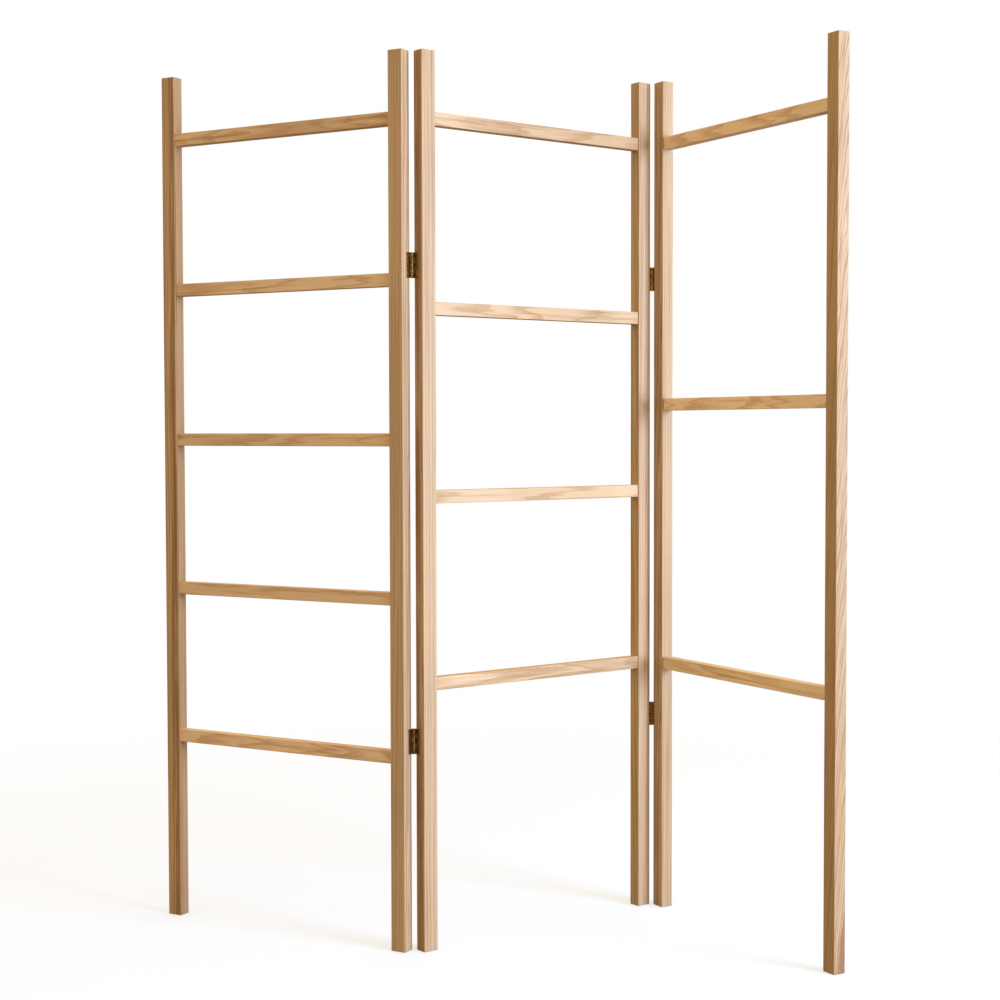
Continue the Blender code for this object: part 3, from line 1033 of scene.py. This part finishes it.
class RACK_OT_screws(bpy.types.Operator):
    """Drives two countersunk brass screws through each hinge leaf"""

    bl_idname = "ladder_rack.screws"
    bl_label = "Hinge screws"

    def execute(self, context):
        sizes = hinge_sizes()
        brass = brass_material("drawn_brass_screw", context.scene.rack_hinge, clean=0.16)
        tree = screw_tree()
        for panel in PANELS:
            places = []
            nodes = []
            for (side, kind), (owner, _, _) in LEAF_SEATS.items():
                if owner != panel:
                    continue
                for level in LEVELS:
                    place = leaf_frame(side, level, kind)
                    into = place.to_3x3() @ Vector((1, 0, 0))
                    nodes += nodes_named(f"{side}_hinge_{level}_{kind}_screw")
                    for height in sizes["heights"]:
                        places.append((place @ Vector((sizes["inner"], sizes["row"], height)), into))
            values = {
                "Head": sizes["head"], "Shank": sizes["head"] * SHANK_SHARE, "Length": sizes["screw"],
                "Slot": sizes["head"] * SLOT_SHARE, "Material": brass,
            }
            name = f"{panel}_panel_screws_brass"
            mesh = run_tree(name, tree, values, screw_points(name, places))
            mesh.set_sharp_from_angle(angle=SCREW_SHARP_ANGLE)
            stand_for(name, mesh, f"{panel}_panel", nodes)
        return {"FINISHED"}


# Studio.

SENSOR = 36.0

# A wide floor a hair below the posts' feet. It glows where it is seen, and fades into the white room between
# these two distances.

FLOOR_RADIUS = 14.0
FLOOR_SIDES = 96
FLOOR_DROP = 0.0005
FLOOR_GLOW = 0.6
FLOOR_FADE = (1.0, 3.0)
FLOOR_SEEN = "A3B6D9"
FLOOR_BOUNCE = "8A7C68"

# The key light's size, where it stands from the point that it is aimed at, and its colour.

KEY_SIZE = (2.0, 2.6)
KEY_AIM = (0, 0, 0.85)
KEY_PLACE = (1.55, -4.7, 0.55)
KEY_COLOUR = "DCEBFF"
ROOM_COLOUR = "FFDAA4"


class RACK_OT_studio(bpy.types.Operator):
    """Sets a plain pale floor, soft light and the camera"""

    bl_idname = "ladder_rack.studio"
    bl_label = "Studio"

    def execute(self, context):
        studio = context.scene.rack_studio
        scene = context.scene
        scene.view_settings.view_transform = "Standard"
        self.floor()
        self.lights(studio)
        self.room(studio)
        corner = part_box("middle_panel_left_post")[0]
        camera = bpy.data.objects.new("camera", bpy.data.cameras.new("camera"))
        scene.collection.objects.link(camera)
        camera.data.sensor_width = SENSOR
        camera.data.lens = studio.lens
        stand = Matrix.Translation(Vector((corner.x, corner.y, 0)) + Vector(studio.place))
        turn = Matrix.Rotation(-studio.turn, 4, "Z")
        tilt = Matrix.Rotation(math.radians(90) - studio.tilt, 4, "X")
        camera.matrix_world = stand @ turn @ tilt @ Matrix.Rotation(-studio.roll, 4, "Z")
        scene.camera = camera
        return {"FINISHED"}

    def floor(self):
        """A wide pale floor that fades into the white room, and sends little light back up."""
        bm = bmesh.new()
        bmesh.ops.create_circle(bm, cap_ends=True, segments=FLOOR_SIDES, radius=FLOOR_RADIUS)
        bmesh.ops.translate(bm, vec=(0, 0, -FLOOR_DROP), verts=bm.verts)
        mesh = bpy.data.meshes.new("studio_floor")
        bm.to_mesh(mesh)
        bm.free()
        material, tree, shader = new_material("matt_white_floor")
        shader.inputs["Roughness"].default_value = 0.9
        seen = add(tree, "ShaderNodeLightPath").outputs["Is Camera Ray"]
        place = add(tree, "ShaderNodeTexCoord").outputs["Object"]
        far = add(tree, "ShaderNodeVectorMath", {0: place}, operation="LENGTH").outputs["Value"]
        glow = ramped(tree, far, *FLOOR_FADE, FLOOR_GLOW, 1.0)
        pale = mixed(tree, ramped(tree, far, *FLOOR_FADE), linear(FLOOR_SEEN), linear("000000"))
        tree.links.new(mixed(tree, seen, linear(FLOOR_BOUNCE), pale), shader.inputs["Base Color"])
        tree.links.new(maths(tree, "MULTIPLY", seen, glow), shader.inputs["Emission Strength"])
        shader.inputs["Emission Color"].default_value = linear("FFFFFF")
        shader.inputs["Specular IOR Level"].default_value = 0.0
        mesh.materials.append(material)
        link_object("studio_floor", mesh)

    def lights(self, studio):
        """One large soft light, cool as a window, from the front and a little to the right."""
        light = bpy.data.objects.new("key", bpy.data.lights.new("key", "AREA"))
        bpy.context.scene.collection.objects.link(light)
        light.data.shape = "RECTANGLE"
        light.data.size, light.data.size_y = KEY_SIZE
        light.data.energy = studio.key
        light.data.color = linear(KEY_COLOUR)[:3]
        aim = Vector(KEY_AIM)
        light.location = aim + Vector(KEY_PLACE)
        light.rotation_euler = (aim - light.location).to_track_quat("-Z", "Y").to_euler()

    def room(self, studio):
        """The room: white where it is seen, and a warm soft light where it falls on the rack."""
        world = bpy.data.worlds.new("studio_room")
        bpy.context.scene.world = world
        world.use_nodes = True
        tree = world.node_tree
        tree.nodes.clear()
        warm = add(tree, "ShaderNodeBackground", {"Color": linear(ROOM_COLOUR), "Strength": studio.fill})
        white = add(tree, "ShaderNodeBackground", {"Color": linear("FFFFFF"), "Strength": 1.0})
        seen = add(tree, "ShaderNodeLightPath").outputs["Is Camera Ray"]
        both = {0: seen, 1: warm.outputs[0], 2: white.outputs[0]}
        mix = add(tree, "ShaderNodeMixShader", both)
        add(tree, "ShaderNodeOutputWorld", {"Surface": mix.outputs[0]})


# The sidebar.


class RACK_PT_sidebar(bpy.types.Panel):
    """The rack's steps and settings"""

    bl_idname = "RACK_PT_sidebar"
    bl_label = "Ladder Rack"
    bl_space_type = "VIEW_3D"
    bl_region_type = "UI"
    bl_category = "Ladder Rack"

    def draw(self, context):
        for step in STEPS:
            self.layout.operator(step.bl_idname)
        for settings in (context.scene.rack_ash, context.scene.rack_hinge, context.scene.rack_studio):
            box = self.layout.box()
            for name in settings.__annotations__:
                box.prop(settings, name)


SETTINGS = {"rack_ash": AshSettings, "rack_hinge": HingeSettings, "rack_studio": StudioSettings}
STEPS = (RACK_OT_posts, RACK_OT_rungs, RACK_OT_leaves, RACK_OT_pins, RACK_OT_screws, RACK_OT_studio)


def register():
    for item in (*SETTINGS.values(), *STEPS, RACK_PT_sidebar):
        bpy.utils.register_class(item)
    for name, group in SETTINGS.items():
        setattr(bpy.types.Scene, name, bpy.props.PointerProperty(type=group))


def unregister():
    for name in SETTINGS:
        delattr(bpy.types.Scene, name)
    for item in (RACK_PT_sidebar, *reversed(STEPS), *reversed(SETTINGS.values())):
        bpy.utils.unregister_class(item)


def main():
    """Makes every piece and the studio."""
    register()
    bpy.ops.ladder_rack.posts()
    bpy.ops.ladder_rack.rungs()
    bpy.ops.ladder_rack.leaves()
    bpy.ops.ladder_rack.pins()
    bpy.ops.ladder_rack.screws()
    bpy.ops.ladder_rack.studio()


if __name__ == "__main__":
    main()
